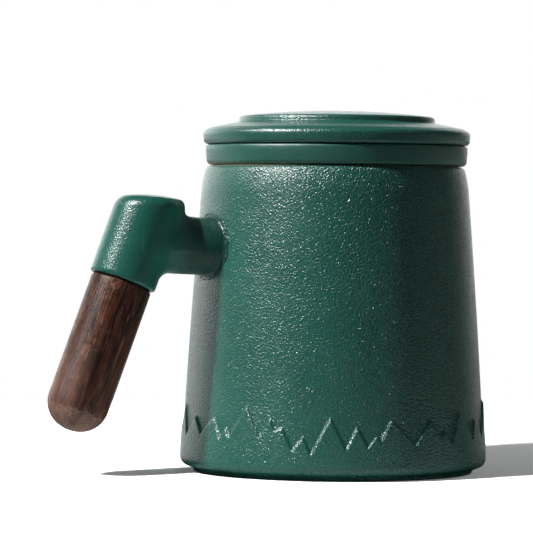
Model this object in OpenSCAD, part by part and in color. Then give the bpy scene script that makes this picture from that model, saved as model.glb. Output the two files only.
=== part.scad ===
// Lidded tea mug with a lift-out infuser and a turned wooden side handle.
// Millimetres, +Z up. The origin is on the mug's axis, on the surface it stands on,
// and the handle points along -X.

/* [Mug body] */
// Height of the mug from the table to the crown of its rim
mug_h = 91.9; // [75:0.1:120]
// Outside diameter of the plain wall just above the heel
base_d = 90.8; // [72:0.1:112]
// Outside diameter of the wall where the shoulder begins
shoulder_d = 80.4; // [66:0.1:100]
// How far the wall swells out past a straight taper
wall_bulge = 0.17; // [0:0.01:1.5]
// Thickness of the wall
wall_t = 4.8; // [3.5:0.1:7]
// Thickness of the floor above the foot recess
floor_t = 5; // [3:0.1:8]
// Height of the shoulder that turns in to the rim
shoulder_h = 8.1; // [5:0.1:12]
// Radius of the rim's outer edge
rim_round = 1.9; // [1:0.1:2.4]
// Thickness of the wall at the rim
rim_t = 4.1; // [3.6:0.1:6]
// Radius of the rounded heel
heel_round = 2.6; // [1.8:0.1:3.6]
// How far the foot ring is set in from the wall
foot_inset = 3.2; // [2.4:0.1:4.4]
// Width of the foot ring
foot_ring_w = 5; // [3:0.1:8]
// How far the foot ring stands down below the heel
foot_step = 1.1; // [0.6:0.1:1.6]
// Depth of the recess inside the foot ring
foot_recess = 1.5; // [0.8:0.1:3]

/* [Mountain relief] */
// How far the mountain band stands proud of the wall
relief_h = 0.65; // [0.3:0.05:1]

/* [Infuser] */
// Thickness of the infuser's flange
flange_t = 6; // [4:0.1:9]
// How far the flange reaches past the rim's outer wall
flange_reach = 0.4; // [0:0.1:2]
// Height of the infuser's underside above the mug's floor
infuser_rise = 20.5; // [10:0.5:30]
// How far the infuser's wall tapers in from top to bottom
infuser_taper = 3.8; // [1:0.1:8]
// Thickness of the infuser's wall and floor
infuser_t = 2.8; // [2:0.1:3.5]
// Diameter of each strainer hole
hole_d = 2; // [1.2:0.1:2.6]
// Rows of strainer holes round the wall
hole_rows = 5; // [2:1:6]
// Strainer holes in each row
holes_per_row = 24; // [12:1:30]
// Height between two rows
row_pitch = 6; // [4:0.5:6.5]

/* [Lid] */
// How far the lid reaches past the infuser's flange
lid_reach = 0.8; // [0:0.1:2]
// Height of the lid's rounded edge
lid_edge_h = 4.7; // [3.5:0.1:7]
// Rise of the sloping brim from the edge to the raised disc
brim_rise = 1.9; // [1:0.1:4]
// Width of the sloping brim round the raised disc
brim_w = 10.6; // [6:0.1:16]
// Height of the raised disc at its edge
disc_h = 2.1; // [1:0.1:4]
// Rise of the disc's crown above its edge
crown_rise = 1.6; // [0.4:0.1:3]
// Depth of the locating ring under the lid
ring_depth = 5; // [3:0.1:9]
// Thickness of the locating ring
ring_t = 3; // [2:0.1:4]
// Thickness of the lid over its hollow
lid_t = 4.2; // [3:0.1:5.5]

/* [Handle] */
// Drop from the rim to the stub's axis at the wall
stub_drop = 24.3; // [18:0.1:34]
// Diameter of the stub that carries the socket
stub_d = 17.1; // [13:0.1:20]
// Angle at which the stub climbs away from the wall
stub_rise = 2.5; // [0:0.5:6]
// Distance from the wall to the socket's axis at the stub
handle_reach = 23; // [18:0.1:32]
// Lean of the socket and the grip from upright
handle_tilt = 20.7; // [10:0.1:25]
// Length of the socket below the stub's axis
socket_low = 12.2; // [10:0.1:18]
// Height of the socket's crown above the stub's axis
socket_high = 14.3; // [11.5:0.1:20]
// Diameter of the wooden grip
grip_d = 18.3; // [15:0.1:24]
// Height of the grip's free end above the table
grip_clear = 13.9; // [5:0.1:30]
// Radius that rounds the grip's free end
grip_round = 8.4; // [5:0.1:8.8]
// How far the socket's lip stands past the grip
lip_w = 0.8; // [0.4:0.1:2]
// Thickness of the soft washer between socket and grip
washer_t = 0.3; // [0.3:0.1:1.5]

/* [Handle fixing] */
// Diameter of the stud
stud_d = 5; // [4:0.5:6]
// Length of stud held in the wood
stud_in_wood = 18; // [12:1:24]
// Diameter of the threaded insert
insert_d = 9; // [7.5:0.1:10]
// Length of the threaded insert
insert_len = 13; // [9:0.1:15]
// Thickness of the insert's closed end
insert_end_t = 1.5; // [0.8:0.1:3]
// Thickness of the adhesive round the insert
bond_t = 0.6; // [0.3:0.1:1]

/* [Fits] */
// Gap left between stacked ceramic faces
seat_gap = 0.2; // [0.1:0.05:0.4]
// Radial play of the infuser in the mug's mouth
infuser_play = 0.8; // [0.3:0.1:1.5]
// Radial play of the lid's ring in the infuser
lid_play = 0.5; // [0.3:0.1:1.5]
// Radial clearance of the stud in its holes
stud_play = 0.05; // [0.02:0.01:0.2]

/* [Hidden] */
$fn = 96;
over = 1;
glaze = "#2f6b5b";

// Slopes of the shoulder where it leaves the wall, and where the rim's round takes over
shoulder_slope = 0.083;
shoulder_curve = 0.0138;
rim_angle = 15;
shoulder_turn = rim_round * (1 - sin(rim_angle));

// Where the wall, the heel and the cavity begin and end
heel_z = 4.4;
wall_z = heel_z + 2.6;
shoulder_z = mug_h - shoulder_h;
base_r = base_d / 2;
shoulder_r = shoulder_d / 2;
foot_r = base_r - foot_inset;
hollow_draft = 0.5;
floor_z = foot_recess + floor_t;
cavity_round = 8;
rim_r = shoulder_radius(shoulder_h - shoulder_turn);
crown_r = rim_r - rim_round * cos(rim_angle);
mouth_r = rim_r - rim_t;
lip_round_in = rim_round / 2;

// The mountain line: [bearing round the mug, height above the table], foot and peak in turn
SKYLINE = [
    [172, 11.5], [181, 17.5], [186, 12.5], [194, 17.5], [198, 11.5], [201, 14.5], [203, 12],
    [211, 21.5], [217, 12.5], [221, 18], [223, 14.5], [226, 15.5], [230, 9], [234, 13],
    [237, 8], [244, 18.5], [250, 9.5], [254, 16], [258, 10], [261, 13], [263, 12], [267, 18],
    [277, 10.5], [284, 17.5], [289, 12.5], [291, 14.5], [295, 10.5], [300, 19.5], [310, 11.5],
    [313, 17], [321, 11.5], [331, 22], [338, 12], [342, 16], [347, 9.5], [355, 18.5],
    [361, 11], [365, 14.5], [369, 8.5], [377, 20], [385, 11], [389, 15.5], [392, 12.5],
    [400, 18], [409, 9], [414, 14], [418, 10.5], [428, 21], [437, 11.5], [441, 15],
    [445, 9.5], [453, 18.5], [460, 10.5], [464, 13.5], [468, 8.5], [477, 19.5], [486, 11],
    [491, 16.5], [495, 12], [503, 18], [511, 9.5], [516, 14], [520, 11], [527, 20.5], [532, 11.5]
];
relief_top = 23;
relief_taper = 1.5;

// The stack above the rim
flange_z = mug_h + seat_gap;
flange_top = flange_z + flange_t;
flange_r = rim_r + flange_reach;
flange_taper = 0.35;
lid_z = flange_top + seat_gap;
lid_r = flange_r + lid_reach;
disc_r = lid_r - brim_w;
edge_round = 1.4;

// The infuser's basket
basket_top_r = mouth_r - infuser_play;
basket_low_r = basket_top_r - infuser_taper;
basket_z = floor_z + infuser_rise;
basket_round = 6;
infuser_mouth_r = basket_top_r - infuser_t;
first_row = 9;
floor_ring_r = 7;
floor_rings = 2;

// The handle's axes, in the plane y = 0, measured out from the mug's axis
stub_z = mug_h - stub_drop;
stub_out = wall_radius(stub_z);
joint_out = stub_out + handle_reach;
joint_z = stub_z + handle_reach * tan(stub_rise);
socket_r = grip_d / 2 + lip_w;
lip_round = 1;
socket_crown_z = joint_z + socket_high;
socket_round = 3;
bond_r = insert_d / 2 + bond_t;
bore_len = insert_len + bond_t;
grip_top = -socket_low - washer_t;
grip_len = (joint_z - grip_clear) / cos(handle_tilt) + grip_top;
stud_end_gap = 0.5;
stud_in_insert = insert_len - insert_end_t - stud_end_gap;

// Radius of the plain outer wall at height z
function wall_radius(z) =
    let (t = (z - wall_z) / (shoulder_z - wall_z))
    base_r + (shoulder_r - base_r) * t + 4 * wall_bulge * t * (1 - t);

// Radius of the shoulder at a height above its beginning
function shoulder_radius(up) = shoulder_r - shoulder_slope * up - shoulder_curve * up * up;

// Points on an arc about c, from angle a to angle b
function arc(c, r, a, b, n = 6) =
    [for (i = [0:n]) c + r * [cos(a + (b - a) * i / n), sin(a + (b - a) * i / n)]];

// Points up the plain wall and over the shoulder
function wall_points(n = 8) =
    [for (i = [0:n]) let (z = wall_z + (shoulder_z - wall_z) * i / n) [wall_radius(z), z]];
function shoulder_points(n = 4) =
    [for (i = [1:n]) let (up = (shoulder_h - shoulder_turn) * i / n)
        [shoulder_radius(up), shoulder_z + up]];

// The foot ring and the heel, whose edge stands as far out as the relief. The heel's underside
// runs straight on from its round to the top of the foot ring.
function foot_points() =
    let (c = [wall_radius(heel_z) + relief_h - heel_round, heel_z], foot_draft = 0.3)
    concat([[0, 0], [foot_r - foot_draft, 0], [foot_r, foot_step]],
        arc(c, heel_round, -65, 0, 8));

module plain_wall() {
    rotate_extrude()
        polygon(concat(
            [[0, heel_z], [wall_radius(heel_z) - relief_h, heel_z]],
            wall_points(),
            shoulder_points(),
            arc([crown_r, mug_h - rim_round], rim_round, rim_angle, 90),
            [[0, mug_h]]));
}

module raised_band() {
    taper_z = relief_top - relief_taper;
    rotate_extrude()
        polygon(concat(
            foot_points(),
            [for (t = [0:3]) let (z = wall_z + (taper_z - wall_z) * t / 3)
                [wall_radius(z) + relief_h, z]],
            [[wall_radius(relief_top) - over, relief_top], [0, relief_top]]));
}

// The space over one valley of the skyline, as a prism that reaches through the band. Its
// slopes run on a little past the two peaks, so that it meets its neighbours there.
module valley(left, foot, right) {
    r = base_r + relief_h;
    behind = 1.5;
    deep = r - wall_radius(relief_top) + behind;
    past = 1.15;
    x_left = r * sin(left[0] - foot[0]);
    x_right = r * sin(right[0] - foot[0]);
    rotate([0, 0, foot[0]])
        translate([r - deep, 0, 0])
        rotate([90, 0, 90])
        linear_extrude(deep + over)
        polygon([
            [0, foot[1]],
            [x_right * past, foot[1] + (right[1] - foot[1]) * past],
            [x_right * past, relief_top + over],
            [x_left * past, relief_top + over],
            [x_left * past, foot[1] + (left[1] - foot[1]) * past]]);
}

// The raised band with its valleys carved out one after another, up to the given foot
module mountains(i = len(SKYLINE) - 1) {
    first_peak = SKYLINE[1] + [360, 0];
    if (i < 2) raised_band();
    else difference() {
        mountains(i - 2);
        valley(SKYLINE[i - 1], SKYLINE[i], i + 1 < len(SKYLINE) ? SKYLINE[i + 1] : first_peak);
    }
}

module cavity() {
    low_z = floor_z + cavity_round;
    rotate_extrude()
        polygon(concat(
            [[0, floor_z]],
            arc([wall_radius(low_z) - wall_t - cavity_round, low_z], cavity_round, -90, 0),
            [for (t = [0.25, 0.5, 0.75]) let (z = low_z + (shoulder_z - low_z) * t)
                [wall_radius(z) - wall_t, z]],
            [[mouth_r, shoulder_z + 1]],
            arc([mouth_r + lip_round_in, mug_h - lip_round_in], lip_round_in, 180, 90, 4),
            [[mouth_r + lip_round_in, mug_h + over], [0, mug_h + over]]));
}

module foot_hollow() {
    r = foot_r - foot_ring_w;
    translate([0, 0, -over])
        cylinder(h = foot_recess + over, r1 = r + over * hollow_draft,
                 r2 = r - foot_recess * hollow_draft);
}

module mug_body() {
    color(glaze)
    difference() {
        union() {
            plain_wall();
            mountains();
        }
        cavity();
        foot_hollow();
    }
}

module infuser_shell() {
    low = [basket_low_r - basket_round, basket_z + basket_round];
    inner_round = basket_round - infuser_t;
    neck_z = flange_z - 2;
    top_round = edge_round / 2;
    rotate_extrude()
        polygon(concat(
            [[0, basket_z]],
            arc(low, basket_round, -90, 0),
            [[basket_top_r, neck_z], [basket_top_r, flange_z]],
            arc([flange_r - flange_taper - edge_round, flange_z + edge_round], edge_round, -90, 0),
            arc([flange_r - top_round, flange_top - top_round], top_round, 0, 90, 4),
            arc([infuser_mouth_r + top_round, flange_top - top_round], top_round, 90, 180, 4),
            [[infuser_mouth_r, neck_z]],
            arc(low, inner_round, 0, -90),
            [[0, basket_z + infuser_t]]));
}

module strainer_holes() {
    for (row = [0:hole_rows - 1], k = [0:holes_per_row - 1])
        rotate([0, 0, (k + row % 2 / 2) * 360 / holes_per_row])
        translate([basket_low_r - basket_round, 0, basket_z + first_row + row * row_pitch])
        rotate([0, 90, 0])
        cylinder(h = basket_round + infuser_taper + over, d = hole_d, $fn = 24);
    for (ring = [0:floor_rings], k = [0:max(1, 6 * ring) - 1])
        rotate([0, 0, k * 360 / max(1, 6 * ring)])
        translate([ring * floor_ring_r, 0, basket_z - over])
        cylinder(h = infuser_t + 2 * over, d = hole_d, $fn = 24);
}

module infuser() {
    color(glaze)
    difference() {
        infuser_shell();
        strainer_holes();
    }
}

// The locating ring's end, with small chamfers
function ring_points(r_in, r_out, z, chamfer = 1) =
    [[r_in, z + chamfer], [r_in + chamfer, z], [r_out - chamfer, z], [r_out, z + chamfer]];

module lid() {
    brim_z = lid_z + lid_edge_h;
    disc_z = brim_z + brim_rise;
    crown_z = disc_z + disc_h;
    brim_round = 1.5 * edge_round;
    cove = 0.6;
    crown_r = disc_r - cove / 2 - edge_round;
    ring_r = infuser_mouth_r - lid_play;
    hollow_r = ring_r - ring_t;
    hollow_step = 4;
    color(glaze)
    rotate_extrude()
        polygon(concat(
            ring_points(hollow_r, ring_r, lid_z - ring_depth),
            [[ring_r, lid_z]],
            arc([lid_r - edge_round, lid_z + edge_round], edge_round, -90, 0),
            arc([lid_r - brim_round, brim_z - brim_round], brim_round, 0, 78),
            [[disc_r + cove, disc_z], [disc_r, disc_z + cove / 2]],
            arc([crown_r, crown_z - edge_round], edge_round, 10, 78),
            [for (t = [0.8, 0.6, 0.4, 0.2, 0]) [crown_r * t, crown_z + crown_rise * (1 - t * t)]],
            [[0, crown_z + crown_rise - lid_t],
             [hollow_r - hollow_step, crown_z - lid_t], [hollow_r, brim_z - lid_t]]));
}

// Places what follows on the socket's axis, with z = 0 at the stub's axis
module on_handle() {
    translate([-joint_out, 0, joint_z]) rotate([0, handle_tilt, 0]) children();
}

// The socket: a leaning barrel whose crown is level and softly rounded
module socket_shape() {
    stretch = 1 / cos(handle_tilt);
    crown_out = joint_out - (socket_high - socket_round) * tan(handle_tilt);
    crown_flat = 0.3;
    lip_h = 4;
    hull() {
        on_handle() translate([0, 0, -socket_low])
            rotate_extrude($fn = 48)
            polygon(concat([[0, 0]], arc([socket_r - lip_round, lip_round], lip_round, -90, 0, 4),
                [[socket_r, lip_h], [0, lip_h]]));
        translate([-crown_out, 0, socket_crown_z - socket_round - crown_flat])
            scale([stretch, 1, 1])
            rotate_extrude($fn = 48)
            translate([socket_r - socket_round, 0])
            circle(socket_round, $fn = 32);
        translate([-crown_out, 0, socket_crown_z - crown_flat])
            cylinder(h = crown_flat, r = socket_r / 3, $fn = 32);
    }
}

module handle_socket() {
    color(glaze)
    difference() {
        union() {
            socket_shape();
            translate([-joint_out, 0, joint_z]) rotate([0, 90 + stub_rise, 0])
                cylinder(h = handle_reach + wall_t / 2, d = stub_d);
        }
        plain_wall();
        on_handle() translate([0, 0, -socket_low - over])
            cylinder(h = bore_len + over, r = bond_r);
    }
}

module handle_grip() {
    r = grip_d / 2;
    edge = 0.8;
    color("#4a2c22")
    on_handle() translate([0, 0, grip_top])
        difference() {
            rotate_extrude()
                polygon(concat(
                    [[0, 0]],
                    arc([r - edge, -edge], edge, 90, 0, 4),
                    arc([r - grip_round, grip_round - grip_len], grip_round, 0, -72, 10),
                    [[0, -grip_len]]));
            translate([0, 0, -stud_in_wood - over])
                cylinder(h = stud_in_wood + 2 * over, r = stud_d / 2 + stud_play);
        }
}

module grip_washer() {
    inset = 0.5;
    hole_play = 0.2;
    color("#161616")
    on_handle() translate([0, 0, grip_top])
        difference() {
            cylinder(h = washer_t, r = grip_d / 2 - inset);
            translate([0, 0, -over])
                cylinder(h = washer_t + 2 * over, r = stud_d / 2 + hole_play);
        }
}

module grip_stud() {
    r = stud_d / 2;
    len = stud_in_wood + washer_t + stud_in_insert;
    point = 1;
    chamfer = 0.5;
    color("#b9bcc0")
    on_handle() translate([0, 0, grip_top - stud_in_wood])
        rotate_extrude()
        polygon([[0, 0], [r - point, 0], [r, 1.5 * point],
            [r, len - chamfer], [r - chamfer, len], [0, len]]);
}

// The insert's outside: three collars with shallow grooves between, which key it in the adhesive
module insert_outside() {
    groove = 0.4;
    collar = insert_len / 5;
    cylinder(h = insert_len, d = insert_d - 2 * groove);
    for (k = [0:2])
        translate([0, 0, 2 * k * collar]) cylinder(h = collar, d = insert_d);
}

module socket_insert() {
    color("#b08d45")
    on_handle() translate([0, 0, -socket_low])
        difference() {
            insert_outside();
            translate([0, 0, -over])
                cylinder(h = over + insert_len - insert_end_t, r = stud_d / 2 + stud_play);
        }
}

module insert_bond() {
    color("#d8cfa8")
    on_handle() translate([0, 0, -socket_low])
        difference() {
            cylinder(h = bore_len, r = bond_r);
            insert_outside();
        }
}

mug_body();
infuser();
lid();
handle_socket();
handle_grip();
grip_washer();
grip_stud();
socket_insert();
insert_bond();
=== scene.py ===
"""Looks of a lidded tea mug: satin glazed clay, turned dark wood, and a plain white studio.

All sizes are in millimetres until a mesh is made. The mug's axis is Z, it stands on Z = 0 and
its handle points along -X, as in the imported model.
"""

import logging
import math
from dataclasses import dataclass
from enum import Enum
from itertools import product
from typing import Callable, Sequence, Union

import bmesh
import bpy
import numpy as np
from mathutils import Matrix, Vector


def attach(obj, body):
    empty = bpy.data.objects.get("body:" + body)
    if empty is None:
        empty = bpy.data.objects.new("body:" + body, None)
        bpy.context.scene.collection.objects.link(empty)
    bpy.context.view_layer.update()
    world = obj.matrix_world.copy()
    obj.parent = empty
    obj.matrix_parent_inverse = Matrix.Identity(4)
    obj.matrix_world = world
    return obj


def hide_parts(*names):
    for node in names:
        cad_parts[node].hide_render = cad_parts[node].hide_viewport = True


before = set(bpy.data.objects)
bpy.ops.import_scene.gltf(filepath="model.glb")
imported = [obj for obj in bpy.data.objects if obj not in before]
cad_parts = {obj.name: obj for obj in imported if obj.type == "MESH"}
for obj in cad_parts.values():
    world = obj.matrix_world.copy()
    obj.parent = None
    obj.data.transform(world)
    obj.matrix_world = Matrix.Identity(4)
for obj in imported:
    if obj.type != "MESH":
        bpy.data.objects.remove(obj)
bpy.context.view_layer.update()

MM = 0.001
TINY = 1e-6
LOG = logging.getLogger("tea_mug")

# The lid and the infuser lie loose, and both rest a little to one side of their play.
LOOSE = (0.32, -0.15, 0.0)

Colour = tuple[float, float, float]
Point = tuple[float, float, float]


def metres(place: Point) -> Point:
    """A place in metres, for a shader or a lamp."""
    return tuple(c * MM for c in place)


# ---------------------------------------------------------------------------------------
# Outlines and meshes


@dataclass(frozen=True)
class Corner:
    """One corner of a turned outline.

    Args:
        r: distance from the turning axis.
        z: height along the axis.
        round: radius that rounds the corner.
    """

    r: float
    z: float
    round: float = 0.0


def arc(centre: Sequence[float], radius: float, start: float, end: float, steps: int) -> np.ndarray:
    """Points along a circle's arc in the (r, z) plane.

    Args:
        centre: the circle's centre, as (r, z).
        radius: the circle's radius.
        start: angle of the first point, in degrees.
        end: angle of the last point, in degrees.
        steps: number of equal stretches.

    Returns:
        An array of steps + 1 rows of (r, z).
    """
    turn = np.radians(np.linspace(start, end, steps + 1))
    return np.stack([centre[0] + radius * np.cos(turn), centre[1] + radius * np.sin(turn)], 1)


def outline(corners: Sequence[Corner], steps: int, longest: float) -> np.ndarray:
    """An outline with rounded corners and no stretch longer than a limit.

    Args:
        corners: the outline's corners in order.
        steps: stretches along each rounded corner.
        longest: the longest straight stretch left between two points.

    Returns:
        An array of rows of (r, z).
    """
    points: list[np.ndarray] = []
    for i, corner in enumerate(corners):
        here = np.array([corner.r, corner.z])
        if corner.round <= 0 or i in (0, len(corners) - 1):
            points.append(here)
            continue
        before = np.array([corners[i - 1].r, corners[i - 1].z]) - here
        after = np.array([corners[i + 1].r, corners[i + 1].z]) - here
        before, after = before / np.linalg.norm(before), after / np.linalg.norm(after)
        half = math.acos(float(np.clip(before @ after, -1, 1))) / 2
        reach = corner.round / math.tan(half)
        middle = (before + after) / np.linalg.norm(before + after)
        centre = here + middle * corner.round / math.sin(half)
        first, last = here + before * reach - centre, here + after * reach - centre
        a, b = math.atan2(first[1], first[0]), math.atan2(last[1], last[0])
        b = a + (b - a + math.pi) % (2 * math.pi) - math.pi
        points.extend(arc(centre, corner.round, math.degrees(a), math.degrees(b), steps))
    return spread(np.array(points), longest)


def spread(points: np.ndarray, longest: float) -> np.ndarray:
    """The same path with extra points, so that no stretch is longer than a limit.

    Args:
        points: rows of (r, z).
        longest: the longest stretch allowed.

    Returns:
        The path's rows of (r, z) with the extra points.
    """
    out = [points[0]]
    for a, b in zip(points, points[1:]):
        pieces = max(1, math.ceil(float(np.linalg.norm(b - a)) / longest - TINY))
        out.extend(a + (b - a) * k / pieces for k in range(1, pieces + 1))
    return np.array(out)


def circle(radius: float, steps: int) -> np.ndarray:
    """Rows of (x, y) evenly round a circle about the axis, from X on."""
    turn = np.linspace(0, 2 * math.pi, steps, endpoint=False)
    return radius * np.stack([np.cos(turn), np.sin(turn)], 1)


def turned(path: np.ndarray, segments: int) -> np.ndarray:
    """Turns an outline about the Z axis.

    Args:
        path: rows of (r, z).
        segments: number of steps round the axis.

    Returns:
        An array of points, one row for each outline point and one column for each step.
    """
    x, y = circle(1.0, segments).T
    r, z = path[:, :1], path[:, 1:]
    return np.stack([r * x, r * y, z + 0 * x], 2)


class Draft:
    """Points and faces of one piece, in millimetres, before they become an object."""

    def __init__(self) -> None:
        """Starts with no points and no faces."""
        self.points: list[np.ndarray] = []
        self.faces: list[list[int]] = []
        self.count = 0

    def add_points(self, points: np.ndarray) -> np.ndarray:
        """Adds points.

        Args:
            points: an array whose last axis is (x, y, z).

        Returns:
            The indices of the new points, in the shape of the array.
        """
        flat = points.reshape(-1, 3)
        index = np.arange(self.count, self.count + len(flat)).reshape(points.shape[:-1])
        self.points.append(flat)
        self.count += len(flat)
        return index

    def add_quads(self, index: np.ndarray) -> None:
        """Joins rows of points with four-sided faces, round from each last point to the first.

        Args:
            index: rows and columns of point indices.
        """
        across = np.roll(index, -1, axis=1)
        quads = np.stack([index[:-1], across[:-1], across[1:], index[1:]], -1)
        self.faces.extend(quads.reshape(-1, 4).tolist())

    def add_lathe(self, path: np.ndarray, segments: int) -> np.ndarray:
        """Adds a surface of revolution, closed with a fan where the outline meets the axis.

        Args:
            path: rows of (r, z), which run so that the material is on their left.
            segments: number of steps round the axis.

        Returns:
            The point indices, one row for each outline point off the axis.
        """
        index = self.add_points(turned(path[path[:, 0] > TINY], segments))
        self.add_quads(index)
        for end in (0, -1):
            if path[end, 0] <= TINY:
                self.add_fan(index[end], float(path[end, 1]), flip=end == 0)
        return index

    def add_fan(self, ring: np.ndarray, height: float, flip: bool) -> None:
        """Closes a ring with triangles to a point on the axis.

        Args:
            ring: the ring's point indices.
            height: height of the point on the axis.
            flip: whether the ring starts the outline.
        """
        pole = int(self.add_points(np.array([[0.0, 0.0, height]]))[0])
        for a, b in zip(ring, np.roll(ring, -1)):
            self.faces.append([pole, int(b), int(a)] if flip else [int(a), int(b), pole])

    def add_plate(self, loops: Sequence[np.ndarray], height: float) -> None:
        """Adds a flat face with holes.

        Args:
            loops: rows of (x, y) round the face's edge and round each of its holes.
            height: the face's height.
        """
        work = bmesh.new()
        for loop in loops:
            verts = [work.verts.new((x, y, height)) for x, y in loop]
            for a, b in zip(verts, verts[1:] + verts[:1]):
                work.edges.new((a, b))
        bmesh.ops.triangle_fill(work, use_beauty=True, edges=work.edges)
        work.verts.index_update()
        index = self.add_points(np.array([v.co[:] for v in work.verts]))
        self.faces.extend([[int(index[v.index]) for v in f.verts] for f in work.faces])
        work.free()

    def place(self, offset: Sequence[float], lean: float = 0.0) -> None:
        """Leans every point so far towards X and then moves it.

        Args:
            offset: how far the points move.
            lean: angle of the turn about the Y axis, in radians.
        """
        cos, sin = math.cos(lean), math.sin(lean)
        turn = np.array([[cos, 0, sin], [0, 1, 0], [-sin, 0, cos]])
        self.points = [p @ turn.T + np.asarray(offset) for p in self.points]

    def build(self, name: str, merge: float = 0.0, crease: float = 180.0) -> bpy.types.Object:
        """Makes the object, shaded smooth.

        Args:
            name: the object's name.
            merge: distance under which points are joined, in millimetres.
            crease: angle in degrees from which an edge shows as sharp.

        Returns:
            The new object, in metres.
        """
        mesh = bpy.data.meshes.new(name)
        mesh.from_pydata((np.concatenate(self.points) * MM).tolist(), [], self.faces)
        if merge > 0:
            work = bmesh.new()
            work.from_mesh(mesh)
            bmesh.ops.remove_doubles(work, verts=work.verts, dist=merge * MM)
            bmesh.ops.recalc_face_normals(work, faces=work.faces)
            work.to_mesh(mesh)
            work.free()
        mesh.shade_smooth()
        if crease < 180:
            mesh.set_sharp_from_angle(angle=math.radians(crease))
        mesh.update()
        piece = bpy.data.objects.new(name, mesh)
        bpy.context.scene.collection.objects.link(piece)
        return piece


# ---------------------------------------------------------------------------------------
# Rounded solids from distance fields

Field = Callable[[np.ndarray], np.ndarray]

# A wrapped surface is settled in some rounds, and in a few of them it is evened out as well.
SETTLE_ROUNDS = 8
EVEN_ROUNDS = range(1, 5)
EVEN_PULL = 0.6
PROBE = 0.05
LEAST_SLOPE = 0.2


def round_both(a: np.ndarray, b: np.ndarray, radius: float) -> np.ndarray:
    """Distance to what two solids share, with its edge rounded.

    Args:
        a: distances to the first solid, negative inside.
        b: distances to the second solid.
        radius: radius of the rounded edge.

    Returns:
        The combined distances.
    """
    beyond = np.hypot(np.maximum(a + radius, 0), np.maximum(b + radius, 0))
    return np.minimum(-radius, np.maximum(a, b)) + beyond


def round_either(a: np.ndarray, b: np.ndarray, radius: float | np.ndarray) -> np.ndarray:
    """Distance to two solids joined with a fillet.

    Args:
        a: distances to the first solid, negative inside.
        b: distances to the second solid.
        radius: radius of the fillet, the same everywhere or one for each point.

    Returns:
        The combined distances.
    """
    within = np.hypot(np.maximum(radius - a, 0), np.maximum(radius - b, 0))
    return np.maximum(radius, np.minimum(a, b)) - within


def skin(solid: Field, low: Sequence[float], high: Sequence[float], step: float) -> Draft:
    """Wraps a closed surface of even quads round a distance field.

    Args:
        solid: gives the distance to the solid at rows of (x, y, z), negative inside.
        low: lowest corner of a box that holds the solid.
        high: highest corner of that box.
        step: size of the quads.

    Returns:
        The surface.
    """
    axes = [np.arange(lo, hi + step, step) for lo, hi in zip(low, high)]
    grid = np.stack(np.meshgrid(*axes, indexing="ij"), -1)
    d = solid(grid.reshape(-1, 3)).reshape(grid.shape[:3])
    inside = d < 0
    cells = tuple(n - 1 for n in d.shape)
    total, weight = np.zeros(cells + (3,)), np.zeros(cells)
    for axis, u, v in product(range(3), (0, 1), (0, 1)):
        ends = []
        for end in (0, 1):
            corner = [u, v]
            corner.insert(axis, end)
            ends.append(tuple(slice(c, c + n) for c, n in zip(corner, cells)))
        a, b = ends
        crossed = inside[a] != inside[b]
        share = np.where(crossed, d[a] / np.where(crossed, d[a] - d[b], 1), 0)
        meets = grid[a] + share[..., None] * (grid[b] - grid[a])
        total += np.where(crossed[..., None], meets, 0)
        weight += crossed
    used = weight > 0
    index = np.full(cells, -1)
    index[used] = np.arange(used.sum())
    points = total[used] / weight[used][:, None]
    quads = np.concatenate([crossing_quads(inside, index, axis) for axis in range(3)])
    points = settle(points, quads, solid, step)
    draft = Draft()
    draft.add_points(points)
    draft.faces = quads.tolist()
    return draft


def crossing_quads(inside: np.ndarray, index: np.ndarray, axis: int) -> np.ndarray:
    """Quads round every grid edge along one axis that passes through the surface.

    Args:
        inside: whether each grid point is inside the solid.
        index: point number of each cell, or -1.
        axis: the edges' axis.

    Returns:
        Rows of four point numbers.
    """
    u, v = (axis + 1) % 3, (axis + 2) % 3
    first = [slice(1, -1)] * 3
    first[axis] = slice(0, -1)
    second = list(first)
    second[axis] = slice(1, None)
    a, b = inside[tuple(first)], inside[tuple(second)]
    where = np.argwhere(a != b)
    leaving = (a & ~b)[tuple(where.T)]
    where = where + 1
    where[:, axis] -= 1
    ring = []
    for du, dv in ((1, 1), (0, 1), (0, 0), (1, 0)):
        cell = where.copy()
        cell[:, u] -= du
        cell[:, v] -= dv
        ring.append(index[tuple(cell.T)])
    quads = np.stack(ring, 1)
    quads[~leaving] = quads[~leaving][:, ::-1]
    return quads[(quads >= 0).all(1)]


def settle(points: np.ndarray, quads: np.ndarray, solid: Field, step: float) -> np.ndarray:
    """Evens out a surface's points and lays them exactly on the solid.

    Args:
        points: the surface's points.
        quads: its faces.
        solid: the distance field.
        step: size of the quads.

    Returns:
        The settled points.
    """
    ends = np.concatenate([quads[:, [k, (k + 1) % 4]] for k in range(4)])
    ends = np.concatenate([ends, ends[:, ::-1]])
    nearby = np.bincount(ends[:, 0], minlength=len(points))[:, None]
    probe = step * PROBE
    for turn in range(SETTLE_ROUNDS):
        if turn in EVEN_ROUNDS:
            sums = [np.bincount(ends[:, 0], points[ends[:, 1], k], len(points)) for k in range(3)]
            points = (1 - EVEN_PULL) * points + EVEN_PULL * np.stack(sums, 1) / nearby
        here = solid(points)
        slope = [solid(points + probe * axis) - solid(points - probe * axis) for axis in np.eye(3)]
        slope = np.stack(slope, 1) / (2 * probe)
        slope /= np.maximum(np.linalg.norm(slope, axis=1, keepdims=True), LEAST_SLOPE)
        points = points - np.clip(here, -step, step)[:, None] * slope
    return points


# ---------------------------------------------------------------------------------------
# Shader graphs

Value = Union[float, "Signal", bpy.types.NodeSocket]
Settings = dict[str, object]
Inputs = dict[str | int, object]


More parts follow.
